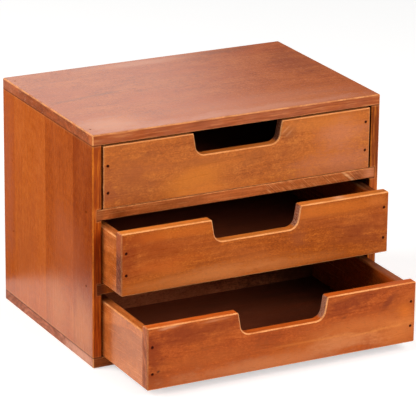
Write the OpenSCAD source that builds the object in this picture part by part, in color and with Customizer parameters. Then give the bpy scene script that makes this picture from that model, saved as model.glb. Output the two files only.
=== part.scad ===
// Desktop mini drawers: a small wooden cabinet with three drawers that pull out by a finger notch.
// Millimetres, +Z up. The origin is the centre of the cabinet's base and the drawers open towards -Y.
// The cabinet's boards are nailed: the top and bottom lap over the sides, the shelves are housed.

/* [Cabinet] */
// Width of the cabinet
cabinet_w = 250; // [200:1:400]
// Depth of the cabinet, front edge to back edge
cabinet_d = 168; // [120:1:300]
// Clear height of each of the three bays
bay_h = 51.5; // [42:0.5:90]
// Thickness of the top, the bottom and the shelves
board_t = 8.5; // [7:0.5:12]
// Thickness of the side panels
side_t = 7.5; // [6.5:0.5:12]
// How deep the shelves are housed in the sides
housing_depth = 3.7; // [2:0.1:4.5]
// Thickness of the back panel
back_t = 3; // [2:0.5:5]
// How far the back panel laps onto the boards round it
back_lap = 4; // [3:0.5:5]

/* [Drawers] */
// Thickness of the drawer fronts
front_t = 8.5; // [7:0.5:12]
// Thickness of the drawer sides
drawer_side_t = 8; // [6.5:0.5:12]
// Thickness of the drawer backs
drawer_back_t = 8; // [6:0.5:12]
// Thickness of the drawer floors
floor_t = 2.5; // [2:0.5:5]
// Height of the floor's underside above the drawer's lower edge
floor_lift = 3; // [3:0.5:8.5]
// Depth of the groove that the floor slides into
groove_depth = 3.5; // [2:0.5:4.5]
// How much lower the sides and the back are than the front
side_drop = 4.5; // [0:0.5:12]

/* [Clearances] */
// Gap between a drawer and the cabinet's side, on each side
side_gap = 1.1; // [0.5:0.1:3]
// Gap between a drawer front and the board above it
top_gap = 1.2; // [0.5:0.1:3]
// Running gap between a drawer and the board under it
run_gap = 0.1; // [0.05:0.05:0.5]
// Gap between a closed drawer and the back panel
end_gap = 7.5; // [0.5:0.5:12]
// Play of a board in its housing
housing_play = 0.05; // [0.02:0.01:0.2]
// Play of a floor in its groove
groove_play = 0.15; // [0.05:0.05:0.5]
// Play of a nail in its hole, on the radius
nail_play = 0.02; // [0.01:0.01:0.05]

/* [Finger notch] */
// Width of the notch at the front's top edge
notch_w = 77; // [40:1:120]
// Depth of the notch
notch_depth = 18.4; // [12:0.1:26]
// Lean of the notch's ends, in degrees
notch_lean = 10; // [0:1:25]
// Radius of the notch's lower corners
notch_r = 8; // [4:0.5:10]
// Radius of the notch's upper corners
notch_lip_r = 1.7; // [1.6:0.1:4]
// How far the notch stands to the left of the front's middle
notch_shift = 1.1; // [-10:0.1:10]

/* [Drawers pulled out] */
// How far the upper drawer stands open
upper_open = 0; // [0:1:150]
// How far the middle drawer stands open
middle_open = 32; // [0:1:150]
// How far the lower drawer stands open
lower_open = 77; // [0:1:150]

/* [Eased edges] */
// Width of the eased outer edges
arris = 0.9; // [0.4:0.1:1]
// Width of the eased edges round the bays
bay_arris = 0.6; // [0.3:0.1:1]

/* [Nails] */
// Length of a nail
nail_l = 20; // [16:1:24]
// Diameter of a nail
nail_d = 1.2; // [0.8:0.1:1.5]
// Diameter of a nail's head
nail_head_d = 1.8; // [1.6:0.1:2.5]
// Length of a panel pin
pin_l = 11; // [8:1:13]
// Diameter of a panel pin
pin_d = 1; // [0.7:0.1:1.2]
// Diameter of a panel pin's head
pin_head_d = 1.6; // [1.4:0.1:2]
// Thickness of a head
head_h = 0.8; // [0.5:0.1:1.5]
// How deep a head is punched below the surface
nail_sink = 0.4; // [0.1:0.1:1]
// Nails in the top and bottom: distance from the cabinet's side
edge_nail_in = 5.2; // [4:0.1:5.5]
// Nails in the top and bottom: distance from the front edge
edge_nail_front = 15; // [10:1:30]
// Nails in the top and bottom: distance from the back edge
edge_nail_rear = 13; // [10:1:30]
// Nails into the shelves: distance from the front edge
shelf_nail_front = 12; // [8:1:30]
// Nails into the shelves: distance from the back edge
shelf_nail_rear = 18; // [16:1:40]
// Nails in a drawer front: distance from its end
front_nail_in = 4.2; // [3.5:0.1:4.5]
// Lower nail of a drawer corner: height above the lower edge
nail_low = 14; // [10:0.5:18]
// Upper nail of a drawer corner: distance below the side's top
nail_high = 10; // [5:0.5:12]
// Outer pins of a row: distance from the row's end
pin_in = 25; // [20:1:40]

/* [Hidden] */
$fn = 48;

// Colours of the stained boards, the thin plywood and the nails
front_stain = [0.74, 0.37, 0.16];
top_stain = [0.78, 0.45, 0.27];
side_stain = [0.73, 0.38, 0.15];
ply_stain = [0.52, 0.26, 0.13];
steel_dark = [0.16, 0.11, 0.10];

// Levels of the bays, counted from the bottom
LOWER = 0;
MIDDLE = 1;
UPPER = 2;
open_by = [lower_open, middle_open, upper_open];

// The cabinet: half width, front and back planes, and heights
half_w = cabinet_w / 2;
front_y = -cabinet_d / 2;
back_y = cabinet_d / 2;
cabinet_h = 3 * bay_h + 4 * board_t;
half_in = half_w - side_t;
back_panel_y = back_y - back_t;
function bay_z(level) = board_t + level * (bay_h + board_t);
function shelf_z(level) = bay_z(level) - board_t;

// A drawer: its sizes, and the places of its boards before it is pulled out
drawer_w = 2 * (half_in - side_gap);
drawer_in = drawer_w - 2 * drawer_side_t;
front_h = bay_h - run_gap - top_gap;
side_h = front_h - side_drop;
drawer_side_y = front_y + front_t;
drawer_end_y = back_panel_y - end_gap;
drawer_back_y = drawer_end_y - drawer_back_t;
floor_top = floor_lift + floor_t;
floor_reach = groove_depth - groove_play;

// Cutters run this far past the faces that they cut
over = 0.4;
// A round corner's eased edge is cut this much deeper or less deep than the straight ones beside
// it, so that they cross there instead of only touching
blend = 0.05;

// How far the nails of a drawer front wander from their line: left low, left high, right low,
// right high, one row for each level
nail_wander = [[-1, -1, 0, -1.5], [2.5, -1.5, -1.5, 2], [-1.5, -1.5, 1.5, 3]];

// Outward directions of nails, as turns from +Z
OUT_UP = [0, 0, 0];
OUT_DOWN = [180, 0, 0];
OUT_LEFT = [0, -90, 0];
OUT_RIGHT = [0, 90, 0];
OUT_FRONT = [90, 0, 0];
OUT_BACK = [-90, 0, 0];
out_side = [[-1, OUT_LEFT], [1, OUT_RIGHT]];

// Nail places: a point on the surface and the outward turn
edge_rows = [front_y + edge_nail_front, back_y - edge_nail_rear];
shelf_rows = [front_y + shelf_nail_front, back_y - shelf_nail_rear];
top_nail_places = [
    for (s = [-1, 1], y = edge_rows) [[s * (half_w - edge_nail_in), y, cabinet_h], OUT_UP]
];
bottom_nail_places = [
    for (s = [-1, 1], y = edge_rows) [[s * (half_w - edge_nail_in), y, 0], OUT_DOWN]
];
shelf_nail_places = [
    for (s = out_side, y = shelf_rows, level = [MIDDLE, UPPER])
        [[s[0] * half_w, y, shelf_z(level) + board_t / 2], s[1]]
];
lap_x = half_in + back_lap / 2;
pin_row_z = [
    board_t - back_lap / 2, shelf_z(MIDDLE) + board_t / 2,
    shelf_z(UPPER) + board_t / 2, cabinet_h - board_t + back_lap / 2
];
back_pin_places = concat(
    [for (z = pin_row_z, s = [-1, 0, 1]) [[s * (half_w - pin_in), back_y, z], OUT_BACK]],
    [for (s = [-1, 1], level = [LOWER, MIDDLE, UPPER])
        [[s * lap_x, back_y, bay_z(level) + bay_h / 2], OUT_BACK]]
);
function corner_z(level, k) =
    (k % 2 == 0 ? nail_low : side_h - nail_high) + nail_wander[level][k];
function front_nail_places(level) = [
    for (k = [0:3])
        [[(k < 2 ? -1 : 1) * (drawer_w / 2 - front_nail_in), front_y, corner_z(level, k)], OUT_FRONT]
];
back_nail_places = [
    for (s = out_side, z = [nail_low, side_h - nail_high])
        [[s[0] * drawer_w / 2, drawer_end_y - drawer_back_t / 2, z], s[1]]
];
floor_pin_places = [
    for (s = [-1, 0, 1])
        [[s * (drawer_in / 2 - pin_in), drawer_end_y - drawer_back_t / 2, floor_lift], OUT_DOWN]
];

// ---- Ways to lay an outline: its two axes become the other two, in order ----

module along_x(x0, x1) {
    translate([x0, 0, 0])
        rotate([90, 0, 90])
            linear_extrude(x1 - x0)
                children();
}

module along_y(y0, y1) {
    translate([0, y1, 0])
        rotate([90, 0, 0])
            linear_extrude(y1 - y0)
                children();
}

module along_z(z0, z1) {
    translate([0, 0, z0])
        linear_extrude(z1 - z0)
            children();
}

// A rectangle whose corners are cut at 45 degrees by so much: lower left, lower right, upper
// right, upper left
module eased_rect(low, high, ease) {
    polygon(concat(
        ease[0] > 0 ? [[low.x, low.y + ease[0]], [low.x + ease[0], low.y]] : [low],
        ease[1] > 0 ? [[high.x - ease[1], low.y], [high.x, low.y + ease[1]]] : [[high.x, low.y]],
        ease[2] > 0 ? [[high.x, high.y - ease[2]], [high.x - ease[2], high.y]] : [high],
        ease[3] > 0 ? [[low.x + ease[3], high.y], [low.x, high.y - ease[3]]] : [[low.x, high.y]]
    ));
}

// What is cut from a corner at the origin whose wood lies at +x and +y
module corner_cut(ease) {
    polygon([[-over, -over], [ease + over, -over], [-over, ease + over]]);
}

// ---- Nails ----

// Outline of a nail of length l from its axis outwards, grown by play and opened upwards by rise
module nail_outline(l, d, head_d, play, rise) {
    polygon([
        [0, rise], [head_d / 2 + play, rise], [head_d / 2 + play, -head_h - play],
        [d / 2 + play, -head_h - play], [d / 2 + play, d - l], [0, -l - play]
    ]);
}

module drive(places) {
    for (place = places)
        translate(place[0])
            rotate(place[1])
                translate([0, 0, -nail_sink])
                    children();
}

module nails(places) {
    drive(places)
        rotate_extrude()
            nail_outline(nail_l, nail_d, nail_head_d, 0, 0);
}

module nail_holes(places) {
    drive(places)
        rotate_extrude()
            nail_outline(nail_l, nail_d, nail_head_d, nail_play, nail_sink + over);
}

module pins(places) {
    drive(places)
        rotate_extrude()
            nail_outline(pin_l, pin_d, pin_head_d, 0, 0);
}

module pin_holes(places) {
    drive(places)
        rotate_extrude()
            nail_outline(pin_l, pin_d, pin_head_d, nail_play, nail_sink + over);
}

// ---- Cabinet ----

// The space behind the bays that the back panel drops into
module back_rebate() {
    translate([-half_in - back_lap, back_panel_y, board_t - back_lap])
        cube([2 * (half_in + back_lap), back_t + over, cabinet_h - 2 * (board_t - back_lap)]);
}

module top_panel() {
    color(top_stain)
        difference() {
            end_board();
            nail_holes(top_nail_places);
        }
}

module bottom_panel() {
    color(front_stain)
        difference() {
            translate([0, 0, cabinet_h])
                mirror([0, 0, 1])
                    end_board();
            nail_holes(bottom_nail_places);
        }
}

// The top board, which the bottom mirrors: it laps over both sides
module end_board() {
    z0 = cabinet_h - board_t;
    difference() {
        intersection() {
            along_x(-half_w, half_w)
                eased_rect([front_y, z0], [back_y, cabinet_h], [0, 0, arris, arris]);
            along_y(front_y, back_y)
                eased_rect([-half_w, z0], [half_w, cabinet_h], [0, 0, arris, arris]);
            along_z(z0, cabinet_h)
                eased_rect([-half_w, front_y], [half_w, back_y], [arris, arris, arris, arris]);
        }
        along_x(-half_in, half_in)
            translate([front_y, z0])
                corner_cut(bay_arris);
        back_rebate();
        pin_holes(back_pin_places);
    }
}

module left_side_panel() {
    color(side_stain)
        side_panel();
}

module right_side_panel() {
    color(side_stain)
        mirror([1, 0, 0])
            side_panel();
}

// The left side, which the right one mirrors
module side_panel() {
    difference() {
        along_z(board_t, cabinet_h - board_t)
            eased_rect([-half_w, front_y], [-half_in, back_y], [arris, 0, 0, arris]);
        for (level = [MIDDLE, UPPER])
            translate([-half_in - housing_depth, front_y - over, shelf_z(level)])
                cube([housing_depth + over, cabinet_d + 2 * over, board_t + housing_play]);
        for (level = [LOWER, MIDDLE, UPPER])
            along_z(bay_z(level), bay_z(level) + bay_h)
                translate([-half_in, front_y])
                    mirror([1, 0])
                        corner_cut(bay_arris);
        back_rebate();
        nail_holes(top_nail_places);
        nail_holes(bottom_nail_places);
        nail_holes(shelf_nail_places);
        pin_holes(back_pin_places);
    }
}

module shelf(level) {
    color(front_stain)
        difference() {
            along_x(-half_in - housing_depth + housing_play, half_in + housing_depth - housing_play)
                eased_rect(
                    [front_y, shelf_z(level)], [back_panel_y, shelf_z(level) + board_t],
                    [bay_arris, 0, 0, bay_arris]
                );
            nail_holes(shelf_nail_places);
            pin_holes(back_pin_places);
        }
}

module back_panel() {
    x = half_in + back_lap - housing_play;
    z = board_t - back_lap + housing_play;
    color(ply_stain)
        difference() {
            translate([-x, back_panel_y, z])
                cube([2 * x, back_t, cabinet_h - 2 * z]);
            pin_holes(back_pin_places);
        }
}

// ---- Finger notch of a drawer front, drawn in the front's own plane ----

// Distance from a corner to where its rounding of radius r starts
function tangent_run(r) = r * tan((90 - notch_lean) / 2);
notch_floor_z = front_h - notch_depth;
notch_top_x = notch_w / 2;
notch_foot_x = notch_top_x - notch_depth * tan(notch_lean);
notch_bend = [notch_foot_x - tangent_run(notch_r), notch_floor_z + notch_r];
notch_lip = [notch_top_x + tangent_run(notch_lip_r), front_h - notch_lip_r];
// Where the straight end of the notch starts above the bend, and where it stops below the lip
end_foot = notch_bend + notch_r * [cos(notch_lean), -sin(notch_lean)];
end_head = notch_lip - notch_lip_r * [cos(notch_lean), -sin(notch_lean)];

module notch_outline() {
    union() {
        polygon([
            [-notch_lip.x, front_h + over], [-notch_lip.x, front_h], [-end_head.x, end_head.y],
            [-end_foot.x, end_foot.y], [-notch_bend.x, notch_floor_z], [notch_bend.x, notch_floor_z],
            end_foot, end_head, [notch_lip.x, front_h], [notch_lip.x, front_h + over]
        ]);
        for (s = [-1, 1])
            translate([s * notch_bend.x, notch_bend.y])
                circle(notch_r);
    }
}

// The wood that stays at the notch's rounded upper corners
module notch_lips() {
    for (s = [-1, 1])
        translate([s * notch_lip.x, notch_lip.y])
            circle(notch_lip_r);
}

module notch() {
    translate([-notch_shift, 0, 0])
        along_y(front_y - over, front_y + front_t + over)
            difference() {
                notch_outline();
                notch_lips();
            }
}

// The notch's eased edge on a face that lies at y = 0 with its wood at +y
module notch_edge() {
    along_x(-notch_bend.x, notch_bend.x)
        translate([0, notch_floor_z])
            mirror([0, 1])
                corner_cut(arris);
    for (s = [0, 1])
        mirror([s, 0, 0]) {
            bend_edge();
            translate([end_foot.x, 0, end_foot.y])
                rotate([0, notch_lean, 0])
                    linear_extrude(norm(end_head - end_foot) + notch_lip_r)
                        corner_cut(arris);
            lip_edge();
        }
}

// The lower corner's eased edge: a whole cone, which meets wood at the corner alone
module bend_edge() {
    translate([notch_bend.x, -over, notch_bend.y])
        rotate([-90, 0, 0])
            cylinder(
                h = arris + blend + 2 * over,
                r1 = notch_r + arris + blend + over, r2 = notch_r - over
            );
}

// The upper corner's eased edge, from the notch's end round to the top
module lip_edge() {
    translate([notch_lip.x, 0, notch_lip.y])
        rotate([-90, 0, 0])
            rotate([0, 0, 180 + notch_lean])
                rotate_extrude(angle = 90 - notch_lean)
                    translate([notch_lip_r + blend, 0])
                        mirror([1, 0])
                            corner_cut(arris);
}

// Eases the notch's edge on both faces of the front
module notch_edges() {
    translate([-notch_shift, front_y, 0])
        notch_edge();
    translate([-notch_shift, drawer_side_y, 0])
        mirror([0, 1, 0])
            notch_edge();
}

// ---- Drawers ----

// Puts a drawer's pieces, modelled shut and standing on z = 0, at their level and pulled out
module at_level(level) {
    translate([0, -open_by[level], bay_z(level) + run_gap])
        children();
}

module drawer_front(level) {
    color(front_stain)
        at_level(level)
            difference() {
                intersection() {
                    along_x(-drawer_w / 2, drawer_w / 2)
                        eased_rect([front_y, 0], [drawer_side_y, front_h], [arris, 0, arris, arris]);
                    along_y(front_y, drawer_side_y)
                        eased_rect(
                            [-drawer_w / 2, 0], [drawer_w / 2, front_h], [arris, arris, arris, arris]
                        );
                    along_z(0, front_h)
                        eased_rect(
                            [-drawer_w / 2, front_y], [drawer_w / 2, drawer_side_y],
                            [arris, arris, 0, 0]
                        );
                }
                notch();
                notch_edges();
                translate([-drawer_in / 2 - groove_depth, drawer_side_y - groove_depth, floor_lift])
                    cube([drawer_in + 2 * groove_depth, groove_depth + over, floor_t + groove_play]);
                nail_holes(front_nail_places(level));
            }
}

module drawer_left_side(level) {
    color(side_stain)
        at_level(level)
            drawer_side(level, [0, 1]);
}

module drawer_right_side(level) {
    color(side_stain)
        at_level(level)
            mirror([1, 0, 0])
                drawer_side(level, [2, 3]);
}

// A left drawer side; corner names the two nails of the front that go into it
module drawer_side(level, corner) {
    x = drawer_w / 2;
    difference() {
        along_y(drawer_side_y, drawer_end_y)
            eased_rect([-x, 0], [drawer_side_t - x, side_h], [arris, arris, arris, arris]);
        translate([drawer_side_t - x - groove_depth, drawer_side_y - over, floor_lift])
            cube([groove_depth + over, cabinet_d, floor_t + groove_play]);
        for (k = corner)
            nail_holes([[[front_nail_in - x, front_y, corner_z(level, k)], OUT_FRONT]]);
        nail_holes(back_nail_places);
    }
}

module drawer_back(level) {
    color(side_stain)
        at_level(level)
            difference() {
                along_x(housing_play - drawer_in / 2, drawer_in / 2 - housing_play)
                    eased_rect(
                        [drawer_back_y, floor_top], [drawer_end_y, side_h], [0, 0, arris, arris]
                    );
                nail_holes(back_nail_places);
                pin_holes(floor_pin_places);
            }
}

module drawer_floor(level) {
    x = drawer_in / 2 + floor_reach;
    y = drawer_side_y - floor_reach;
    color(ply_stain)
        at_level(level)
            difference() {
                translate([-x, y, floor_lift])
                    cube([2 * x, drawer_end_y - y, floor_t]);
                pin_holes(floor_pin_places);
            }
}

module drawer_front_nails(level) {
    color(steel_dark)
        at_level(level)
            nails(front_nail_places(level));
}

module drawer_back_nails(level) {
    color(steel_dark)
        at_level(level)
            nails(back_nail_places);
}

module drawer_floor_pins(level) {
    color(steel_dark)
        at_level(level)
            pins(floor_pin_places);
}

// ---- One line for each node ----

top_panel();
bottom_panel();
left_side_panel();
right_side_panel();
shelf(UPPER);  // upper_shelf
shelf(MIDDLE);  // lower_shelf
back_panel();
color(steel_dark) nails(top_nail_places);  // top_nails
color(steel_dark) nails(bottom_nail_places);  // bottom_nails
color(steel_dark) nails(shelf_nail_places);  // shelf_nails
color(steel_dark) pins(back_pin_places);  // back_pins

drawer_front(UPPER);  // upper_drawer_front
drawer_left_side(UPPER);  // upper_drawer_left_side
drawer_right_side(UPPER);  // upper_drawer_right_side
drawer_back(UPPER);  // upper_drawer_back
drawer_floor(UPPER);  // upper_drawer_floor
drawer_front_nails(UPPER);  // upper_drawer_front_nails
drawer_back_nails(UPPER);  // upper_drawer_back_nails
drawer_floor_pins(UPPER);  // upper_drawer_floor_pins

drawer_front(MIDDLE);  // middle_drawer_front
drawer_left_side(MIDDLE);  // middle_drawer_left_side
drawer_right_side(MIDDLE);  // middle_drawer_right_side
drawer_back(MIDDLE);  // middle_drawer_back
drawer_floor(MIDDLE);  // middle_drawer_floor
drawer_front_nails(MIDDLE);  // middle_drawer_front_nails
drawer_back_nails(MIDDLE);  // middle_drawer_back_nails
drawer_floor_pins(MIDDLE);  // middle_drawer_floor_pins

drawer_front(LOWER);  // lower_drawer_front
drawer_left_side(LOWER);  // lower_drawer_left_side
drawer_right_side(LOWER);  // lower_drawer_right_side
drawer_back(LOWER);  // lower_drawer_back
drawer_floor(LOWER);  // lower_drawer_floor
drawer_front_nails(LOWER);  // lower_drawer_front_nails
drawer_back_nails(LOWER);  // lower_drawer_back_nails
drawer_floor_pins(LOWER);  // lower_drawer_floor_pins
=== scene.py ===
"""Finish, light and camera for a small stained wooden cabinet with three drawers.

Metres, +Z up, drawers towards -Y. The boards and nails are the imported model's own nodes. Each gets
eased edges; each board has a wood material of its own, laid along its grain, and the nails share
their steel. Marks and other places on the boards are in mm in the same frame.
"""

import math
from collections import namedtuple

import bpy
from mathutils import Matrix, Vector


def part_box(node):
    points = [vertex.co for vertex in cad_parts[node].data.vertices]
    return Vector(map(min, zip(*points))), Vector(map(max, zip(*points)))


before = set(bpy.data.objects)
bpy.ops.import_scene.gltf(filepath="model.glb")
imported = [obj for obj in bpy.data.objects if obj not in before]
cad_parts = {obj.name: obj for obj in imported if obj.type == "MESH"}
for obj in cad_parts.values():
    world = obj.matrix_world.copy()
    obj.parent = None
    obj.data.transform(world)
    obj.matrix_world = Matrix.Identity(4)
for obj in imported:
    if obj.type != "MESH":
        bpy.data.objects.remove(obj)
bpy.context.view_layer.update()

X, Y, Z = 0, 1, 2
MM = 0.001


# ---- Colours ----


def linear(value):
    """One channel of an sRGB colour, 0 to 255, as linear light."""
    v = value / 255
    return v / 12.92 if v <= 0.04045 else ((v + 0.055) / 1.055) ** 2.4


def srgb(red, green, blue):
    """A colour from its sRGB channels, 0 to 255."""
    return (linear(red), linear(green), linear(blue), 1.0)


# ---- Node trees ----


class Shader:
    """A tree of shader nodes. Each call adds a node and returns its output socket."""

    def __init__(self, owner):
        """owner: the material or world whose nodes are replaced."""
        owner.use_nodes = True
        self.nodes = owner.node_tree.nodes
        self.links = owner.node_tree.links
        self.nodes.clear()

    def put(self, socket, value):
        """Links or sets an input socket; None leaves it as it is."""
        if isinstance(value, bpy.types.NodeSocket):
            self.links.new(value, socket)
        elif value is not None:
            socket.default_value = value

    def add(self, kind, inputs, **settings):
        """Adds a node; inputs maps a socket's name or number to a value or to another's output."""
        node = self.nodes.new("ShaderNode" + kind)
        for key, value in settings.items():
            setattr(node, key, value)
        for socket, value in inputs.items():
            self.put(node.inputs[socket], value)
        return node

    def math(self, operation, a, b=None, c=None):
        inputs = {0: a, 1: b, 2: c}
        return self.add("Math", inputs, operation=operation).outputs[0]

    def times(self, a, b):
        return self.math("MULTIPLY", a, b)

    def vector(self, operation, a, b=None):
        """A vector, or a number for the operations that measure one."""
        node = self.add("VectorMath", {0: a, 1: b}, operation=operation)
        scalar = operation in ("LENGTH", "DISTANCE", "DOT_PRODUCT")
        return node.outputs[1 if scalar else 0]

    def split(self, vector):
        return self.add("SeparateXYZ", {0: vector}).outputs

    def join(self, x, y, z):
        return self.add("CombineXYZ", {0: x, 1: y, 2: z}).outputs[0]

    def step(self, value, low, high, start=0.0, end=1.0):
        """Goes smoothly from start to end while value goes from low to high."""
        inputs = {0: value, 1: low, 2: high, 3: start, 4: end}
        return self.add("MapRange", inputs, interpolation_type="SMOOTHSTEP").outputs[0]

    def weighted(self, base, *layers):
        """base plus each layer times its weight."""
        for layer, weight in layers:
            base = self.math("MULTIPLY_ADD", layer, weight, base)
        return base

    def varied(self, base, *layers):
        """base plus each noise layer's distance from its middle times its weight."""
        for layer, weight in layers:
            base = self.weighted(base, (self.math("SUBTRACT", layer, 0.5), weight))
        return base

    def mix(self, factor, a, b, blend="MIX"):
        inputs = {0: factor, 6: a, 7: b}
        node = self.add("Mix", inputs, data_type="RGBA", blend_type=blend)
        return node.outputs[2]

    def noise(self, place, detail, roughness, colour=False):
        """Noise about 0.5 whose features are 1 long; with colour, three of them at once."""
        inputs = {"Vector": place, "Scale": 1.0, "Detail": detail, "Roughness": roughness}
        return self.add("TexNoise", inputs).outputs[1 if colour else 0]

    def ramp(self, value, stops):
        """stops: (position, colour) pairs in rising order."""
        node = self.add("ValToRGB", {0: value})
        elements = node.color_ramp.elements
        elements[0].position, elements[0].color = stops[0]
        elements[1].position, elements[1].color = stops[-1]
        for position, colour in stops[1:-1]:
            elements.new(position).color = colour
        return node.outputs[0]

    def most(self, values):
        """The largest of several values."""
        result = values[0]
        for value in values[1:]:
            result = self.math("MAXIMUM", result, value)
        return result

    def relief(self, height, strength, depth):
        """A normal bumped by height; depth in mm."""
        inputs = {"Strength": strength, "Distance": depth * MM, "Height": height}
        return self.add("Bump", inputs).outputs[0]


def material_of(name):
    """A new material and its node tree."""
    material = bpy.data.materials.new(name)
    return material, Shader(material)


# ---- Wood ----

# A stain's tones from darkest to lightest, and the colour that it drifts to in broad patches
AMBER = (srgb(126, 50, 8), srgb(172, 80, 17), srgb(206, 112, 38)), srgb(188, 98, 42)
GOLD = (srgb(139, 63, 22), srgb(180, 92, 35), srgb(210, 126, 55)), srgb(199, 105, 33)
RED = (srgb(120, 40, 10), srgb(168, 70, 20), srgb(206, 104, 42)), srgb(194, 98, 36)
HONEY = (srgb(144, 58, 18), srgb(188, 90, 30), srgb(216, 120, 50)), srgb(196, 102, 52)
ROSE = (srgb(146, 60, 26), srgb(198, 99, 44), srgb(224, 130, 68)), srgb(192, 84, 32)
PALE = (srgb(140, 62, 20), srgb(192, 98, 36), srgb(226, 140, 76)), srgb(212, 124, 70)
DULL = (srgb(68, 30, 17), srgb(100, 46, 28), srgb(124, 62, 40)), srgb(106, 52, 32)
BROWN = (srgb(160, 78, 48), srgb(204, 110, 68), srgb(228, 138, 90)), srgb(196, 106, 68)

# End grain's darkest and lightest tones
BROWN_ENDS = srgb(122, 56, 28), srgb(184, 94, 50)
DARK_ENDS = srgb(60, 24, 14), srgb(100, 46, 28)
DUSTY_ENDS = srgb(138, 74, 50), srgb(200, 120, 90)
PURPLE_ENDS = srgb(80, 38, 30), srgb(142, 78, 56)
PINK_ENDS = srgb(146, 76, 46), srgb(196, 112, 72)

TORN = srgb(232, 190, 162)
RUBBED = srgb(250, 174, 110)
PORE = srgb(96, 38, 14)
RING = srgb(116, 46, 16)
SEAM = srgb(70, 10, 4)  # where stain and dirt gather, and painted shade in the shut drawer's gap
GLINT = srgb(255, 196, 140)  # what the lacquer's mirrored light is tinted with
INNER_SHADE = srgb(118, 100, 92)  # painted shade: what inner faces are multiplied by
SAW_LIGHT = srgb(226, 150, 96)
SAW_DARK = srgb(118, 58, 32)

# In mm
LOG_STEP = Vector((311.0, 97.0, 53.0))  # from one board's stretch of the log to the next one's
STAVE_STEP = (173.0, 0.0, 41.0)  # the same for two staves of a board
BEND = 22.0  # how far the grain wanders across the board
DARK_LINE_FADE = 0.4  # over which the dark line along a joint fades, and again before the light rim
RIM_FADE = 0.5  # over which that rim fades
NAIL_RIM = 1.0  # dirt has gathered this near a nail's middle
NAIL_FADE = 0.6  # over which that dirt fades
NAIL_APART = 4.0  # vertices of one nail lie closer together than this, across its length
NOTCH_HALF = 45.0  # a notch's ends lie closer to the middle than this
NOTCH_FADE = 5.0  # over which what is particular to a notch comes or goes
FACE_RELIEF = 0.06  # how deep the fibres are

# Parts of the normal between which one face passes on to the next round an eased edge: soon,
# halfway, or only where the next one is nearly flat
SOON, HALFWAY, LATE = (0.3, 0.6), (0.5, 0.8), (0.6, 0.95)

END_DEPTH = 0.85  # how far the end grain's tones cover the stain
EDGE_ROUGHNESS = 0.4

# Dark lines where stain gathers along a joint, and painted shade along the shut drawer's gap: near
# these nodes, within reach in mm; how strongly it shows, and what share of that off the board's wide
# faces; and how light the wood is rubbed beside it
Joint = namedtuple("Joint", "nodes reach strength edges rim")

# A blot: its middle and its reach along two axes of a face in mm, its turn in degrees, its colour
# and how strongly it shows. A wide face's axes run along and across the grain, a narrow edge's
# along it and through the board, and an end's across it and through the board.
Mark = namedtuple("Mark", "along across length width turn colour strength")

# Diagonal saw marks on a narrow edge, between two places along the grain in mm
Sawn = namedtuple("Sawn", "start end strength")


class Board:
    """How one board is cut, stained and lacquered.

    grain, thick: the axes that its grain runs along and that its thickness lies on
    stain: its tones and drift; seed: which stretch of the log it comes from
    pith: how far the log's heart lies behind and beside it, in mm; ring_gap: a year's growth, in mm
    rings, cloudy, streaky, rippled, mottled, drifting: how strongly these show
    lightness: how much lighter than its stain's middle tone the whole board is
    staves: (place in mm, lightness added past it) for strips that are glued edge to edge
    marks, edge_marks, end_marks: blots on its wide faces, long narrow edges and ends
    sawn: saw marks on its edges
    roughness, relief, shine: those of its wide faces
    ends, torn: the end grain's tones, and how much of it is torn; notch_torn: more of it in a notch
    rubbed, patchy: how light its eased edges are, and how much of that comes and goes along them
    rub: the colour that they are rubbed to
    end_rubbed: what share of that its outer ends' edges have
    edge: (colour, strength) of its long narrow edges; lined: how dark the grain lines on them are
    inside: -1 or 1 where that wide face looks into the cabinet or a drawer, 2 where both do
    inner: what the colour of the inner faces is multiplied by, a painted shade
    """

    def __init__(self, grain, thick, stain, seed, **more):
        self.grain = grain
        self.thick = thick
        self.across = X + Y + Z - grain - thick
        self.tones, self.drift = stain
        self.seed = seed
        self.pith = (60.0, 10.0)
        self.ring_gap = 5.0
        self.rings = 0.12
        self.cloudy = 1.0
        self.streaky = 1.0
        self.rippled = 1.0
        self.mottled = 1.0
        self.drifting = 0.5
        self.lightness = 0.0
        self.staves = []
        self.marks = []
        self.edge_marks = []
        self.end_marks = []
        self.sawn = None
        self.roughness = 0.25
        self.relief = 0.2
        self.shine = 0.5
        self.ends = BROWN_ENDS
        self.torn = 0.5
        self.notch_torn = 0.0
        self.rubbed = 0.85
        self.patchy = 0.5
        self.rub = RUBBED
        self.end_rubbed = 1.0
        self.edge = None
        self.lined = 0.3
        self.inside = 0
        self.inner = INNER_SHADE
        for key, value in more.items():
            setattr(self, key, value)


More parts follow.
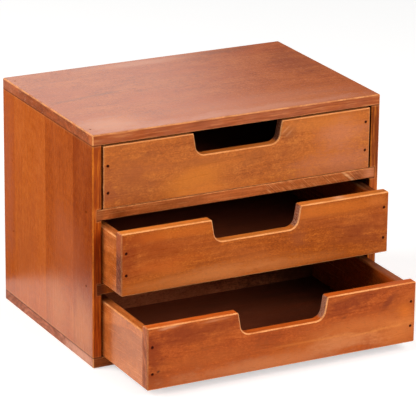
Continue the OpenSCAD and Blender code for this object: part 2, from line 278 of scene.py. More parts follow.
class Point:
    """Where a shaded point lies on its board, which way it faces, and the grain there."""

    def __init__(self, s, board):
        coordinates = s.add("TexCoord", {}).outputs
        self.place = s.vector("MULTIPLY", coordinates["Object"], (1 / MM, 1 / MM, 1 / MM))
        axes = s.split(self.place)
        self.along = axes[board.grain]
        self.across = axes[board.across]
        self.through = axes[board.thick]
        facing = s.split(coordinates["Normal"])
        self.facing = facing[board.thick]
        faced = s.split(s.vector("ABSOLUTE", coordinates["Normal"]))
        self.wide = faced[board.thick]
        self.narrow = faced[board.across]
        self.end = faced[board.grain]
        self.lay_grain(s, board)

    def lay_grain(self, s, board):
        """The board's own stretch of the log, its growth rings and its layers of noise."""
        start = LOG_STEP * board.seed
        own = s.vector("ADD", s.join(self.along, self.across, self.through), start)
        self.lightness = board.lightness
        for edge, added in board.staves:
            past = s.math("GREATER_THAN", self.across, edge)
            own = s.vector("ADD", own, s.vector("MULTIPLY", past, STAVE_STEP))
            self.lightness = s.weighted(self.lightness, (past, added))
        self.own = own

        bend = s.noise(stretched(s, own, 120.0, 36.0), 2.0, 0.5, colour=True)
        bend = s.vector("SUBTRACT", bend, (0.5, 0.5, 0.5))
        bent = s.vector("ADD", own, s.vector("MULTIPLY", bend, (0.0, BEND, BEND)))

        heart = (0.0, start.y + board.pith[1], start.z - board.pith[0])
        spoke = s.vector("MULTIPLY", s.vector("SUBTRACT", bent, heart), (0.0, 1.0, 1.0))
        ring = s.math("FRACT", s.math("DIVIDE", s.vector("LENGTH", spoke), board.ring_gap))
        # a year's wood darkens slowly and ends at once
        self.ring = s.times(s.step(ring, 0.15, 0.9), s.step(ring, 0.9, 1.0, 1.0, 0.0))

        self.drift = s.noise(stretched(s, own, 70.0, 26.0), 2.0, 0.5)
        self.cloud = s.noise(stretched(s, bent, 26.0, 11.0), 3.0, 0.55)
        self.fibre = s.noise(stretched(s, bent, 48.0, 1.5), 3.0, 0.6)
        self.fine_fibre = s.noise(stretched(s, bent, 16.0, 0.35), 2.0, 0.5)
        self.ripple = s.noise(stretched(s, bent, 3.5, 16.0), 2.0, 0.5)
        self.mottle = s.noise(stretched(s, own, 5.0, 3.4), 3.0, 0.6)
        self.speck = s.noise(stretched(s, own, 1.7, 1.2), 2.0, 0.7)
        pore = s.noise(stretched(s, bent, 4.0, 0.25), 1.0, 0.5)
        self.pore = s.step(pore, 0.64, 0.74)


def stretched(s, place, length, width):
    """Place measured in features that are length mm long along the grain and width mm wide."""
    return s.vector("MULTIPLY", place, (1 / length, 1 / width, 1 / width))


def wood(node, board, joint=None, nails=()):
    """The material of one board. nails: places on it where nails are punched in."""
    material, s = material_of("wood_" + node)
    point = Point(s, board)
    colour = face_colour(s, point, board)
    end = s.step(point.end, *HALFWAY)
    torn = torn_fibres(s, point, board)
    colour = s.mix(s.times(end, END_DEPTH), colour, end_colour(s, point, board, torn))
    # Painted shade: faces that look into the cabinet or a drawer are darkened
    if board.inside:
        looks_in = point.wide if board.inside == 2 else s.times(point.facing, board.inside)
        colour = s.mix(s.step(looks_in, 0.6, 0.9), colour, board.inner, "MULTIPLY")
    colour = s.mix(rubbed_edge(s, point, board), colour, board.rub)

    shine = s.step(point.wide, *LATE, board.shine / 2, board.shine)
    darkened, rims = darkened_lines(s, point, joint, nails)
    if rims:
        rim = s.times(s.most(rims), s.step(point.end, *SOON, 1.0, 0.0))
        colour = s.mix(rim, colour, RUBBED)
    # dark joints, dirt round nails, and painted shade in the shut drawer's gap
    if darkened:
        colour = s.mix(s.most(darkened), colour, SEAM)
        shine = s.times(shine, s.math("SUBTRACT", 1.0, s.most(darkened)))

    roughness = s.step(point.wide, *LATE, EDGE_ROUGHNESS, board.roughness)
    roughness = s.varied(roughness, (point.fibre, 0.2))
    roughness = s.weighted(roughness, (end, 0.12), (point.pore, 0.1))
    height = s.weighted(
        s.times(point.fine_fibre, 0.25),
        (point.fibre, 0.6), (point.speck, 0.3), (point.pore, -0.5), (s.times(end, torn), -1.5),
    )

    inputs = {
        "Base Color": colour,
        "Roughness": roughness,
        "Normal": s.relief(height, board.relief, FACE_RELIEF),
        "Specular IOR Level": shine,
        "Specular Tint": GLINT,
    }
    shader = s.add("BsdfPrincipled", inputs)
    s.add("OutputMaterial", {"Surface": shader.outputs[0]})
    return material


def face_colour(s, point, board):
    """The stained faces along the grain: tones, drift, rings, marks, pores and narrow edges."""
    light = s.varied(
        s.math("ADD", point.lightness, 0.5),
        (point.cloud, 0.75 * board.cloudy),
        (point.fibre, 0.5 * board.streaky),
        (point.fine_fibre, 0.3 * board.streaky),
        (point.ripple, 0.3 * board.rippled),
        (point.mottle, 0.65 * board.mottled),
        (point.speck, 1.5 * board.mottled),
    )
    colour = s.ramp(light, list(zip((0.0, 0.5, 1.0), board.tones)))
    drifted = s.times(s.step(point.drift, 0.42, 0.66), board.drifting)
    drifted = s.times(drifted, s.step(point.mottle, 0.3, 0.6, 0.5, 1.0))
    colour = s.mix(drifted, colour, board.drift)
    colour = s.mix(s.times(point.ring, board.rings), colour, RING)
    for mark in board.marks:
        colour = s.mix(blot(s, point, point.along, point.across, mark), colour, mark.colour)
    colour = s.mix(s.times(point.pore, 0.4), colour, PORE)

    narrow = s.step(point.narrow, *HALFWAY)
    if board.edge:
        edge_colour, strength = board.edge
        shows = s.times(narrow, s.step(point.cloud, 0.25, 0.6, strength, 0.8 * strength))
        colour = s.mix(shows, colour, edge_colour)
    for mark in board.edge_marks:
        shows = s.times(blot(s, point, point.along, point.through, mark), narrow)
        colour = s.mix(shows, colour, mark.colour)
    line = s.noise(stretched(s, point.own, 22.0, 1.2), 3.0, 0.6)
    lined = s.times(narrow, board.lined)
    colour = s.mix(s.times(s.step(line, 0.5, 0.64), lined), colour, RING)
    colour = s.mix(s.times(s.step(line, 0.36, 0.46, 0.45, 0.0), lined), colour, board.rub)
    if board.sawn:
        colour = saw_marks(s, point, board.sawn, narrow, colour)
    return colour


def blot(s, point, along, across, mark):
    """A soft oval whose rim follows the grain: the mark's strength in its middle, 0 outside."""
    along = s.math("SUBTRACT", along, mark.along)
    across = s.math("SUBTRACT", across, mark.across)
    cos, sin = math.cos(math.radians(mark.turn)), math.sin(math.radians(mark.turn))
    u = s.weighted(s.times(across, sin / mark.length), (along, cos / mark.length))
    v = s.weighted(s.times(along, -sin / mark.width), (across, cos / mark.width))
    distance = s.varied(
        s.vector("LENGTH", s.join(u, v, 0.0)),
        (point.cloud, 1.2), (point.fibre, 0.7), (point.mottle, 0.9), (point.speck, 0.5),
    )
    return s.step(distance, 0.1, 1.25, mark.strength, 0.0)


def saw_marks(s, point, sawn, narrow, colour):
    """Light and dark scratches that slant across a narrow edge."""
    slant = s.math("ADD", point.along, point.through)
    scratch = s.noise(s.join(s.times(slant, 0.75), s.times(point.through, 0.08), 0.0), 2.0, 0.6)
    middle, half = (sawn.start + sawn.end) / 2, (sawn.end - sawn.start) / 2
    off = s.math("ABSOLUTE", s.math("SUBTRACT", point.along, middle))
    shows = s.times(s.step(off, 0.8 * half, half, sawn.strength, 0.0), narrow)
    colour = s.mix(s.times(s.step(scratch, 0.5, 0.7), shows), colour, SAW_LIGHT)
    return s.mix(s.times(s.step(scratch, 0.3, 0.46, 1.0, 0.0), shows), colour, SAW_DARK)


def torn_fibres(s, point, board):
    """Where the end grain is torn; a notch's ends tear more than the board's own."""
    torn = s.noise(s.vector("MULTIPLY", point.own, (0.6, 0.7, 1.5)), 4.0, 0.75)
    in_notch = s.math("SUBTRACT", 1.0, past_notch(s, point))
    torn = s.weighted(torn, (in_notch, board.notch_torn))
    return s.step(torn, 0.58, 0.68)


def end_colour(s, point, board, torn):
    """End grain drinks the stain and tears a little."""
    speck = s.noise(stretched(s, point.own, 1.1, 1.1), 3.0, 0.7)
    patch = s.noise(stretched(s, point.own, 9.0, 9.0), 2.0, 0.6)
    tone = s.weighted(s.times(speck, 0.4), (patch, 0.6))
    colour = s.mix(s.step(tone, 0.36, 0.64), *board.ends)
    colour = s.mix(s.times(point.ring, 0.4), colour, SEAM)
    for mark in board.end_marks:
        colour = s.mix(blot(s, point, point.across, point.through, mark), colour, mark.colour)
    return s.mix(s.times(torn, board.torn), colour, TORN)


def past_notch(s, point):
    """1 nearer to the board's ends than a notch reaches, 0 where a notch can be."""
    return s.step(s.math("ABSOLUTE", point.along), NOTCH_HALF, NOTCH_HALF + NOTCH_FADE)


def rubbed_edge(s, point, board):
    """How far an eased edge is rubbed back to lighter wood, in patches along it."""
    outer = past_notch(s, point)
    corner = s.times(eased_at(s, point.end), outer)
    eased = s.math("MAXIMUM", eased_at(s, point.wide), corner)
    patch = s.noise(s.vector("MULTIPLY", point.own, (0.09, 0.09, 0.09)), 2.0, 0.5)
    patch = s.step(patch, 0.36, 0.6, 1.0 - board.patchy, 1.0)
    fleck = s.step(point.speck, 0.3, 0.6, 0.55, 1.0)
    outer = s.times(outer, s.step(point.end, *SOON))
    outer = s.weighted(1.0, (outer, board.end_rubbed - 1.0))
    return s.times(s.times(s.times(eased, board.rubbed), outer), s.times(patch, fleck))


def eased_at(s, part):
    """1 halfway round an eased edge, 0 on the flats: part is the normal's part along one axis."""
    square = s.times(part, part)
    return s.times(square, s.math("SUBTRACT", 4.0, s.times(square, 4.0)))


def darkened_lines(s, point, joint, nails):
    """Where stain gathers along the joints, dirt round the nails and painted shade along the shut
    drawer's gap, and the light rims beside.
    """
    darkened, rims = [], []
    for other in joint.nodes if joint else ():
        gap = s.weighted(box_distance(s, point.place, other), (point.fibre, 0.5))
        strength = s.step(point.wide, *SOON, joint.strength * joint.edges, joint.strength)
        dark = s.step(gap, joint.reach - DARK_LINE_FADE, joint.reach, 1.0, 0.0)
        darkened.append(s.times(dark, strength))
        light = joint.reach + DARK_LINE_FADE
        rims.append(s.step(gap, light, light + RIM_FADE, joint.rim, 0.0))
    for nail in nails:
        gap = s.varied(s.vector("DISTANCE", point.place, nail), (point.speck, 1.2))
        darkened.append(s.step(gap, NAIL_RIM, NAIL_RIM + NAIL_FADE, 0.9, 0.0))
    return darkened, rims


def box_distance(s, place, node):
    """How far a place is from a node's box, in mm."""
    low, high = (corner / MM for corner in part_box(node))
    centre, half = (low + high) / 2, (high - low) / 2
    reach = s.vector("ABSOLUTE", s.vector("SUBTRACT", place, centre))
    outside = s.vector("MAXIMUM", s.vector("SUBTRACT", reach, half), (0.0, 0.0, 0.0))
    return s.vector("LENGTH", outside)


def nail_heads(node, axis, side):
    """The middles of the nails' outer ends, in mm: those on one side of a node of nails.

    axis: the axis that the nails lie along; side: -1 or 1, which way their heads face
    """
    groups = []
    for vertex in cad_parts[node].data.vertices:
        place = vertex.co / MM
        for group in groups:
            gap = place - group[0]
            gap[axis] = 0
            if gap.length < NAIL_APART:
                group.append(place)
                break
        else:
            groups.append([place])
    heads = []
    for group in groups:
        head = sum(group, Vector()) / len(group)
        head[axis] = max(place[axis] * side for place in group) * side
        heads.append(head)
    return heads


# ---- Nails ----

BLACKENED = srgb(34, 4, 4)
RUST = srgb(60, 12, 6)
FILLER = srgb(172, 80, 30)
RUST_SPECKS = 2.2  # how many there are in a mm
RUST_RELIEF = 0.05  # mm: how deep they are


def steel(name, filled=False):
    """The blackened heads of the punched nails, with a trace of rust.

    filled: the nails in the rear half of the object are hidden under stained filler
    """
    material, s = material_of(name)
    scale = RUST_SPECKS / MM
    place = s.vector("MULTIPLY", s.add("TexCoord", {}).outputs["Object"], (scale, scale, scale))
    rust = s.noise(place, 4.0, 0.6)
    colour = s.mix(s.step(rust, 0.4, 0.65), BLACKENED, RUST)
    if filled:
        colour = s.mix(s.step(s.split(place)[Y], -1.0, 1.0), colour, FILLER)
    inputs = {
        "Base Color": colour,
        "Roughness": s.weighted(0.5, (rust, 0.3)),
        "Specular IOR Level": 0.05,
        "Normal": s.relief(rust, 0.5, RUST_RELIEF),
    }
    shader = s.add("BsdfPrincipled", inputs)
    s.add("OutputMaterial", {"Surface": shader.outputs[0]})
    return material


# ---- The object ----

WELDED = 0.001  # mm: vertices nearer than this are one
FLAT = math.radians(0.5)  # faces that turn less than this are joined into one
SHARP = math.radians(30)  # edges that turn more than this are eased
BY_SIZE = 100  # how strongly a face's size counts when the normals round an edge are weighed


def dress(node, material, ease):
    """Gives a node its material and rounds its edges by ease, in mm."""
    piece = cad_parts[node]
    mesh = piece.data
    mesh.materials.clear()
    mesh.materials.append(material)
    if "custom_normal" in mesh.attributes:
        mesh.attributes.remove(mesh.attributes["custom_normal"])
    weld = piece.modifiers.new("weld", "WELD")
    weld.merge_threshold = WELDED * MM
    flat = piece.modifiers.new("flat", "DECIMATE")
    flat.decimate_type = "DISSOLVE"
    flat.angle_limit = FLAT
    bevel = piece.modifiers.new("ease", "BEVEL")
    bevel.width = ease * MM
    bevel.segments = 2
    bevel.limit_method = "ANGLE"
    bevel.angle_limit = SHARP
    bevel.use_clamp_overlap = True
    level = piece.modifiers.new("level", "WEIGHTED_NORMAL")
    level.weight = BY_SIZE


# How far the pieces' edges are eased, in mm
CABINET_EASE = 0.25
DRAWER_EASE = 0.3
THIN_EASE = 0.1  # drawer floors and nails


# ---- The cabinet's boards ----

SIDE = {
    "inside": 1, "lined": 0.8, "rubbed": 0.6, "rub": srgb(238, 134, 40),
    "cloudy": 0.5, "drifting": 0.2, "streaky": 0.2, "mottled": 0.5, "rings": 0.04,
}
CABINET = {
    "top_panel": Board(
        X, Z, ROSE, 1, inside=-1, roughness=0.22, relief=0.08, rings=0.05, streaky=0.9,
        mottled=0.8, lined=0.5, edge=(srgb(145, 68, 35), 0.75), rubbed=0.7, patchy=0.6, torn=0.8,
        marks=[
            Mark(-82, 8, 38, 3.5, 9, srgb(140, 74, 48), 0.5),
            # painted sheen: this pale pink blot and the next two stand for the lacquer's reflection
            Mark(20, -78, 130, 10, 0, srgb(226, 150, 118), 0.6),
            Mark(-8, 74, 52, 8, 0, srgb(236, 160, 124), 0.45),
            Mark(-100, -64, 30, 22, 0, srgb(230, 150, 110), 0.65),
            Mark(108, 24, 22, 50, 0, srgb(146, 66, 34), 0.45),
            Mark(70, 76, 40, 6, 0, srgb(150, 74, 40), 0.5),
            # painted sheen
            Mark(44, -60, 90, 22, 0, srgb(232, 148, 108), 0.35),
        ],
        end_marks=[
            Mark(72, 184, 24, 9, 0, srgb(178, 108, 82), 0.6),
            Mark(42, 184, 14, 9, 0, srgb(126, 66, 46), 0.5),
            Mark(-20, 184, 14, 9, 0, srgb(130, 62, 34), 0.5),
            Mark(-82, 184, 5, 9, 0, srgb(192, 100, 46), 0.8),
        ],
    ),
    "bottom_panel": Board(
        X, Z, AMBER, 2, inside=1, ends=DUSTY_ENDS, edge=(srgb(150, 74, 34), 0.6),
        end_marks=[Mark(-64, 4, 40, 9, 0, srgb(236, 176, 150), 0.7)],
    ),
    "left_side_panel": Board(
        Z, X, HONEY, 3, lightness=-0.42, staves=[(-48.8, 0.22), (2.5, 0.26), (62.0, -0.14)],
        edge=(srgb(160, 62, 10), 0.85), **SIDE,
        marks=[
            Mark(26, -64, 34, 24, 0, srgb(222, 132, 70), 0.5),
            Mark(30, -20, 34, 26, 0, srgb(222, 138, 82), 0.35),
            Mark(40, -84, 46, 3, 0, srgb(186, 84, 28), 0.6),
            Mark(110, 76, 90, 14, 0, srgb(180, 98, 70), 0.5),
            Mark(60, 44, 64, 28, 0, srgb(172, 86, 46), 0.35),
            Mark(90, -38, 32, 32, 0, srgb(192, 106, 70), 0.35),
        ],
        # Painted light and shade along the front edge: lighter blots low down and higher up, and a
        # painted shadow of the open middle drawer at 96 mm
        edge_marks=[
            Mark(16, -121, 22, 9, 0, srgb(206, 88, 26), 0.75),
            Mark(57, -121, 7, 9, 0, srgb(200, 90, 34), 0.6),
            Mark(96, -121, 16, 9, 0, srgb(124, 34, 0), 0.6),
            Mark(126, -121, 6, 9, 0, srgb(192, 96, 40), 0.6),
        ],
    ),
    "right_side_panel": Board(
        Z, X, HONEY, 4, lightness=-0.1, staves=[(-38.0, 0.2), (14.0, -0.15), (58.0, 0.1)],
        edge=(srgb(100, 34, 4), 0.95), **(SIDE | {"inside": -1}),
        edge_marks=[
            Mark(112, 121, 22, 9, 0, srgb(176, 82, 34), 0.9),
            Mark(112, 124, 24, 1.6, 0, srgb(206, 116, 50), 0.8),
        ],
    ),
    "upper_shelf": Board(
        X, Z, ROSE, 5, inside=2, torn=0.7, rubbed=0.5, edge=(srgb(176, 98, 50), 0.5), patchy=0.6,
        sawn=Sawn(15, 116, 0.7),
        marks=[Mark(-119, -84, 5, 6, 0, srgb(128, 62, 34), 0.8)],
        edge_marks=[
            Mark(-104, 124, 14, 9, 0, srgb(122, 52, 16), 0.85),
            Mark(-62, 124, 44, 9, 0, srgb(136, 64, 26), 0.5),
            Mark(98, 124, 11, 1.4, -38, srgb(240, 176, 122), 1.0),
            Mark(107, 124, 8, 6, 0, srgb(140, 76, 48), 0.6),
            Mark(117, 124, 6, 6, 0, srgb(204, 130, 92), 0.7),
        ],
    ),
    "lower_shelf": Board(
        X, Z, AMBER, 6, inside=2, rubbed=0.5, patchy=0.8,
        marks=[Mark(-119, -84, 7, 6, 0, srgb(98, 44, 24), 0.9)],
    ),
    "back_panel": Board(Z, Y, AMBER, 7, lightness=-0.2, roughness=0.4, inside=-1),
}
SIDES = ("left_side_panel", "right_side_panel")
LEVELS = ("top_panel", "bottom_panel", "upper_shelf", "lower_shelf")
# Nodes that a board meets, where stain has gathered along the joint
MEETS = {
    "top_panel": SIDES,
    "bottom_panel": SIDES,
    "left_side_panel": LEVELS,
    "right_side_panel": LEVELS,
    "back_panel": ("top_panel", "bottom_panel", *SIDES),
}


def dress_cabinet():
    for name, board in CABINET.items():
        joint = Joint(MEETS.get(name, ()), reach=0.95, strength=0.65, edges=1.0, rim=0.15)
        dress(name, wood(name, board, joint), CABINET_EASE)


# ---- The drawers' boards ----

# Painted shade: the shut upper drawer's front is darkened along the gap to the cabinet, where shade
# falls
SHUT_GAP_SHADE = Joint((*SIDES, "top_panel"), reach=1.95, strength=1.0, edges=0.4, rim=0.3)

FRONT = {"inside": 1, "roughness": 0.3, "patchy": 0.45}
FRONTS = {
    "upper": Board(
        X, Y, GOLD, 8, rings=0.06, streaky=0.8, ends=DARK_ENDS, torn=0.3, notch_torn=0.1,
        edge=(srgb(236, 128, 50), 0.75), rubbed=0.75, **FRONT,
        marks=[
            Mark(-39, 142, 34, 12, 10, srgb(216, 122, 38), 0.65),
            Mark(-30, 132, 26, 6, 0, srgb(222, 124, 44), 0.5),
            Mark(84, 136, 44, 13, 4, srgb(204, 124, 92), 0.5),
            Mark(62, 172, 50, 6, 0, srgb(206, 118, 50), 0.5),
            Mark(92, 160, 26, 14, 0, srgb(206, 126, 92), 0.5),
            Mark(-92, 148, 28, 26, 0, srgb(154, 76, 38), 0.6),
            Mark(-79, 167, 9, 4, 0, srgb(136, 62, 30), 0.5),
            Mark(-40, 155, 44, 4, 0, srgb(160, 82, 36), 0.5),
            Mark(12, 152, 14, 6, 20, srgb(152, 78, 36), 0.5),
            Mark(44, 167, 8, 8, 0, srgb(142, 74, 38), 0.6),
            Mark(42, 153, 16, 8, 0, srgb(150, 74, 34), 0.4),
            Mark(41, 171, 5, 1, 40, srgb(228, 164, 118), 0.35),
            Mark(44, 168, 5, 1, 40, srgb(224, 158, 112), 0.3),
            Mark(92, 132, 30, 6, 0, srgb(172, 96, 56), 0.4),
            Mark(74, 134, 12, 5, 0, srgb(166, 84, 40), 0.4),
            Mark(-82, 155, 30, 5, 0, srgb(166, 84, 44), 0.4),
            Mark(-112, 144, 8, 16, 0, srgb(150, 68, 34), 0.5),
        ],
    ),
    "middle": Board(
        X, Y, AMBER, 9, rings=0.2, ends=PURPLE_ENDS, torn=0.8, notch_torn=0.12, rubbed=1.0,
        end_rubbed=0.25, edge=(srgb(250, 148, 62), 0.75), shine=0.3, **FRONT,
        edge_marks=[Mark(73, -112, 7, 5, 0, srgb(255, 196, 150), 0.8)],
        end_marks=[
            Mark(113, -112, 16, 12, 0, srgb(186, 94, 54), 0.75),
            Mark(69, -112, 4, 8, 0, srgb(176, 112, 76), 0.6),
        ],
        marks=[
            Mark(-102, 113, 24, 5, 0, srgb(150, 54, 8), 0.75),
            Mark(106, 112, 10, 5, 0, srgb(222, 124, 52), 0.6),
            Mark(86, 84, 36, 7, 0, srgb(150, 66, 22), 0.55),
            Mark(-70, 103, 44, 7, -4, srgb(160, 66, 16), 0.4),
            Mark(-66, 113, 50, 5, 0, srgb(206, 102, 28), 0.6),
            Mark(-78, 90, 44, 6, 2, srgb(200, 92, 28), 0.5),
            Mark(-112, 100, 12, 20, 0, srgb(134, 44, 6), 0.8),
            Mark(-88, 100, 24, 9, 0, srgb(150, 58, 8), 0.6),
            Mark(-72, 84, 18, 4, 0, srgb(210, 106, 38), 0.5),
            Mark(-48, 75, 76, 8, 3, srgb(216, 130, 70), 0.6),
            Mark(64, 112, 46, 6, 0, srgb(214, 112, 36), 0.6),
            Mark(62, 101, 24, 6, -10, srgb(156, 68, 24), 0.4),
            Mark(92, 92, 24, 8, 0, srgb(134, 52, 14), 0.8),
            Mark(36, 94, 9, 10, 20, srgb(150, 74, 40), 0.5),
            Mark(24, 74, 60, 6, 0, srgb(204, 122, 66), 0.5),
            Mark(106, 98, 10, 20, 0, srgb(146, 58, 16), 0.5),
        ],
    ),
    "lower": Board(
        X, Y, RED, 10, rings=0.05, rippled=0.6, mottled=0.6, ends=PINK_ENDS, notch_torn=0.16,
        rubbed=1.0, end_rubbed=0.3, edge=(srgb(232, 108, 34), 0.75), shine=0.4, **FRONT,
        marks=[
            Mark(-84, 45, 50, 5, 2, srgb(130, 42, 8), 0.6),
            Mark(-108, 18, 13, 14, 0, srgb(138, 54, 14), 0.7),
            Mark(-72, 51, 54, 7, 2, srgb(130, 42, 8), 0.75),
            Mark(-112, 38, 10, 22, 0, srgb(128, 40, 6), 0.75),
            Mark(-98, 57.2, 12, 1.8, 4, srgb(224, 152, 110), 0.7),
            Mark(-60, 56.2, 14, 1.3, 2, srgb(216, 138, 94), 0.5),
            Mark(60, 50, 28, 9, 10, srgb(124, 38, 8), 0.8),
            Mark(93, 47, 13, 3.6, 46, srgb(128, 46, 18), 0.8),
            Mark(107, 34, 9, 9, 0, srgb(228, 118, 34), 0.6),
            Mark(70, 30, 60, 9, 0, srgb(212, 118, 58), 0.6),
            Mark(52, 20, 40, 8, 0, srgb(224, 140, 86), 0.6),
            Mark(102, 20, 26, 14, 0, srgb(222, 126, 62), 0.6),
            Mark(-60, 26, 46, 7, 2, srgb(186, 94, 40), 0.4),
            Mark(-14, 13, 100, 8, 0, srgb(210, 128, 80), 0.6),
            Mark(30, 25, 52, 1.2, 0, srgb(226, 138, 62), 0.35),
            Mark(82, 24, 36, 1.4, 3, srgb(236, 150, 74), 0.4),
            Mark(-107.3, 23, 1.9, 1.5, 0, srgb(60, 20, 8), 1.0),
            Mark(52.6, 39.5, 3, 1.6, 20, srgb(112, 42, 16), 0.6),
        ],
    ),
}
LEFT_SIDE = {"inside": 1, "rings": 0.3, "ring_gap": 9.0, "pith": (26.0, 0.0), "mottled": 0.8}
# The right sides' inner faces get almost none of that painted shade
RIGHT_SIDE = {"inside": -1, "inner": srgb(255, 240, 225), "rubbed": 0.1}
PLAIN = {"roughness": 0.4, "streaky": 1.5, "rings": 0.3, "ring_gap": 12.0}

# the colour of painted shadow
SHADE = srgb(54, 24, 12)
# What differs between the right sides: their top edges, darkened by painted shadow from the shelf
# above, and a streak of painted light below these on the inner face
RIGHT_SIDES = {
    "upper": {},
    "middle": {
        "edge_marks": [Mark(-80, 112, 27, 40, 0, SHADE, 1.0)],
        # painted light: a streak on the inner face just below the top edge
        "marks": [Mark(-104, 112, 16, 4, 0, srgb(250, 110, 40), 0.9)],
    },
    "lower": {
        # painted shade: the whole top edge is darker
        "edge": (srgb(126, 66, 40), 0.9),
        "edge_marks": [Mark(-78, 112, 26, 40, 0, SHADE, 1.0)],
        # painted light on the inner face near the front
        "marks": [Mark(-138, 52, 32, 6, 0, srgb(255, 124, 48), 1.0)],
    },
}

# Painted light on the drawers' floors, and painted shade in their right rear corners: its place along
# X in mm, and how strong it is
PAINTED_FLOOR_LIGHT = srgb(156, 78, 50)
PAINTED_CORNER_SHADE = srgb(34, 18, 12)
CORNER_SHADE_X = 106
CORNER_SHADE_STRENGTH = {"upper": 0.2, "middle": 0.5, "lower": 0.8}


def inner_boards(level, number):
    """A drawer's boards but its front; number sets their stretches of the log apart."""
    rear = f"{level}_drawer_back"
    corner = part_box(rear)[0] / MM
    corner_shade = CORNER_SHADE_STRENGTH[level]
    # painted shade in the back's lower right corner
    back_corner_shade = [Mark(CORNER_SHADE_X, corner.z, 84, 80, 0, PAINTED_CORNER_SHADE, corner_shade)]
    floor_light_and_shade = [
        # painted light on the floor's left towards the back, and painted shade in its right rear
        # corner
        Mark(-60, corner.y - 30, 120, 80, 0, PAINTED_FLOOR_LIGHT, 0.8),
        Mark(CORNER_SHADE_X, corner.y - 5, 72, 76, 0, PAINTED_CORNER_SHADE, 0.9 * corner_shade),
    ]
    return {
        "left_side": Board(Y, X, PALE, 20 + number, **LEFT_SIDE),
        "right_side": Board(Y, X, AMBER, 30 + number, **RIGHT_SIDE, **RIGHT_SIDES[level]),
        "back": Board(X, Y, BROWN, 40 + number, marks=back_corner_shade, **PLAIN),
        "floor": Board(X, Z, DULL, 50 + number, marks=floor_light_and_shade, **PLAIN),
    }


def dress_drawer(level, number, board):
    """board: that of the drawer's front."""
    front = f"{level}_drawer_front"
    heads = nail_heads(front + "_nails", Y, -1)
    dress(front, wood(front, board, SHUT_GAP_SHADE if level == "upper" else None, heads), DRAWER_EASE)
    for part, inner in inner_boards(level, number).items():
        name = f"{level}_drawer_{part}"
        dress(name, wood(name, inner), THIN_EASE if part == "floor" else DRAWER_EASE)


def dress_nails():
    bare = steel("nail_steel")
    filled = steel("filled_nail_steel", filled=True)
    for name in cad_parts:
        if name.endswith(("_nails", "_pins")):
            dress(name, filled if name == "shelf_nails" else bare, THIN_EASE)


dress_cabinet()
for number, (level, board) in enumerate(FRONTS.items()):
    dress_drawer(level, number, board)
dress_nails()


# ---- Camera: the photograph's place and lens ----

# In radians: towards the left of straight ahead, above level, and turned about the line of sight
AZIMUTH = -0.480
ELEVATION = 0.335
ROLL = 0.011
DISTANCE = 2.2937
AIM = Vector((-0.02675, -0.084, 0.1165))
PICTURE = 416  # pixels
FOCAL_LENGTH = 2973.07  # pixels
SENSOR = 36.0  # mm
NEAREST, FARTHEST = 0.1, 20.0

back = Vector((
    math.sin(AZIMUTH) * math.cos(ELEVATION),
    -math.cos(AZIMUTH) * math.cos(ELEVATION),
    math.sin(ELEVATION),
))
upright = Vector((0, 0, 1))
level_right = upright.cross(back).normalized()
level_up = back.cross(level_right)
right = level_right * math.cos(ROLL) + level_up * math.sin(ROLL)
up = level_up * math.cos(ROLL) - level_right * math.sin(ROLL)
turn = Matrix((right, up, back)).transposed().to_4x4()
camera = bpy.data.objects.new("camera", bpy.data.cameras.new("camera"))
camera.matrix_world = Matrix.Translation(AIM + back * DISTANCE) @ turn
camera.data.sensor_width = SENSOR
camera.data.lens = FOCAL_LENGTH / PICTURE * SENSOR
camera.data.clip_start = NEAREST
camera.data.clip_end = FARTHEST
bpy.context.scene.collection.objects.link(camera)
bpy.context.scene.camera = camera


# ---- Floor, backdrop and light ----

WHITE = (1.0, 1.0, 1.0, 1.0)
PAPER = (0.75, 0.75, 0.75, 1.0)
CARD = (0.02, 0.015, 0.01, 1.0)
WARM = (1.0, 0.98, 0.95)

PAPER_HALF = 3.0
PAPER_LOW = -0.1 * MM  # just clear of the underside
PAPER_GLOW = 0.55  # added where the paper shows, so that it comes out white
ROOM_GLOW = 0.22

# The dark card's foot, from its near end to its far end, and its height
FLAG_FOOT = ((-0.33, -0.60), (-0.203, 0.05), (-0.192, 0.105), (-0.15, 0.124), (-0.02, 0.14))
FLAG_TOP = 0.185

# The glowing card: its place along Y, its reach along X and Z, and its glow left and right of an edge
REAR_Y = 0.75
REAR_X = (-0.8, 1.6)
REAR_Z = (0.19, 1.2)
REAR_GLOW = (1.22, 0.1)
# That edge: where its softness starts and ends along X at a height, and how it leans
REAR_EDGE = (0.36, 0.50)
REAR_EDGE_Z = 0.46
REAR_EDGE_LEAN = -0.6


def shown(s):
    """1 for rays that show the background: from the camera, mirrored or refracted."""
    path = s.add("LightPath", {}).outputs
    return s.most([path["Is Camera Ray"], path["Is Glossy Ray"], path["Is Transmission Ray"]])


def sheet(name, corners, material):
    """A flat piece of the studio, which isn't part of the object."""
    mesh = bpy.data.meshes.new(name)
    mesh.from_pydata(corners, [], [tuple(range(len(corners)))])
    mesh.materials.append(material)
    card = bpy.data.objects.new(name, mesh)
    bpy.context.scene.collection.objects.link(card)
    return card


def only_mirrored(card):
    """The object's lacquer mirrors the card, which is otherwise not there."""
    card.visible_camera = False
    card.visible_diffuse = False
    card.visible_transmission = False
    card.visible_shadow = False


def floor():
    """White paper that keeps a soft shadow."""
    material, s = material_of("floor_paper")
    paper = s.add("BsdfDiffuse", {"Color": PAPER}).outputs[0]
    strength = s.times(shown(s), PAPER_GLOW)
    white = s.add("Emission", {"Color": WHITE, "Strength": strength}).outputs[0]
    surface = s.add("AddShader", {0: paper, 1: white}).outputs[0]
    s.add("OutputMaterial", {"Surface": surface})
    signs = ((-1, -1), (1, -1), (1, 1), (-1, 1))
    corners = [(PAPER_HALF * x, PAPER_HALF * y, PAPER_LOW) for x, y in signs]
    sheet("floor", corners, material)


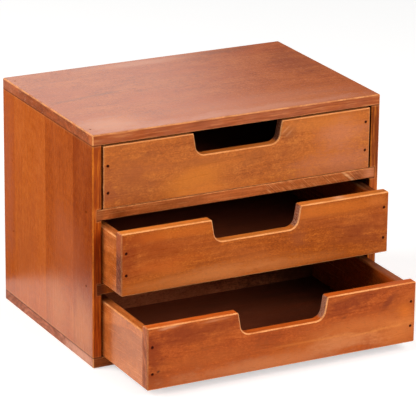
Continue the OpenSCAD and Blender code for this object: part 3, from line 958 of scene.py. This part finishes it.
def flag():
    """A dark card on edge at the left, which ends the white that the left side mirrors."""
    material, s = material_of("dark_card")
    card = s.add("BsdfDiffuse", {"Color": CARD}).outputs[0]
    s.add("OutputMaterial", {"Surface": card})
    for number, (start, end) in enumerate(zip(FLAG_FOOT, FLAG_FOOT[1:])):
        corners = [(*start, 0), (*end, 0), (*end, FLAG_TOP), (*start, FLAG_TOP)]
        only_mirrored(sheet(f"flag_{number}", corners, material))


def rear_card():
    """The glow behind that the top mirrors: bright at the left, dim at the right."""
    material, s = material_of("rear_glow")
    axes = s.split(s.add("TexCoord", {}).outputs["Object"])
    slant = s.weighted(axes[X], (s.math("SUBTRACT", axes[Z], REAR_EDGE_Z), REAR_EDGE_LEAN))
    strength = s.step(slant, *REAR_EDGE, *REAR_GLOW)
    glow = s.add("Emission", {"Color": WHITE, "Strength": strength}).outputs[0]
    s.add("OutputMaterial", {"Surface": glow})
    (left, right), (foot, top) = REAR_X, REAR_Z
    corners = [(x, REAR_Y, z) for x, z in ((left, foot), (right, foot), (right, top), (left, top))]
    only_mirrored(sheet("rear_card", corners, material))


def lamp(name, place, aim, size, power):
    """A warm area lamp that isn't seen or mirrored itself; power in watts."""
    data = bpy.data.lights.new(name, "AREA")
    data.shape = "RECTANGLE"
    data.size, data.size_y = size
    data.energy = power
    data.color = WARM
    light = bpy.data.objects.new(name, data)
    light.location = place
    light.rotation_euler = (Vector(place) - Vector(aim)).to_track_quat("Z", "Y").to_euler()
    light.visible_camera = False
    light.visible_glossy = False
    bpy.context.scene.collection.objects.link(light)


def surroundings():
    """White where it shows, and an even grey room as a source of light."""
    world = bpy.data.worlds.new("studio")
    bpy.context.scene.world = world
    s = Shader(world)
    room = s.add("Background", {"Color": WHITE, "Strength": ROOM_GLOW}).outputs[0]
    white = s.add("Background", {"Color": WHITE, "Strength": 1.0}).outputs[0]
    surface = s.add("MixShader", {0: shown(s), 1: room, 2: white}).outputs[0]
    s.add("OutputWorld", {"Surface": surface})


floor()
flag()
rear_card()
surroundings()
lamp("front", (0.5, -1.5, 1.15), (0, -0.05, 0.1), (0.9, 0.9), 22.0)
lamp("left", (-1.5, 0.55, 0.9), (0, 0, 0.1), (0.9, 0.9), 22.0)
lamp("fill", (-1.2, -0.55, 1.35), (0, -0.1, 0.1), (0.6, 0.6), 5.0)
lamp("low", (0.7, -2.1, 0.34), (0, -0.05, 0.05), (0.7, 0.2), 2.6)
bpy.context.scene.view_settings.view_transform = "Standard"
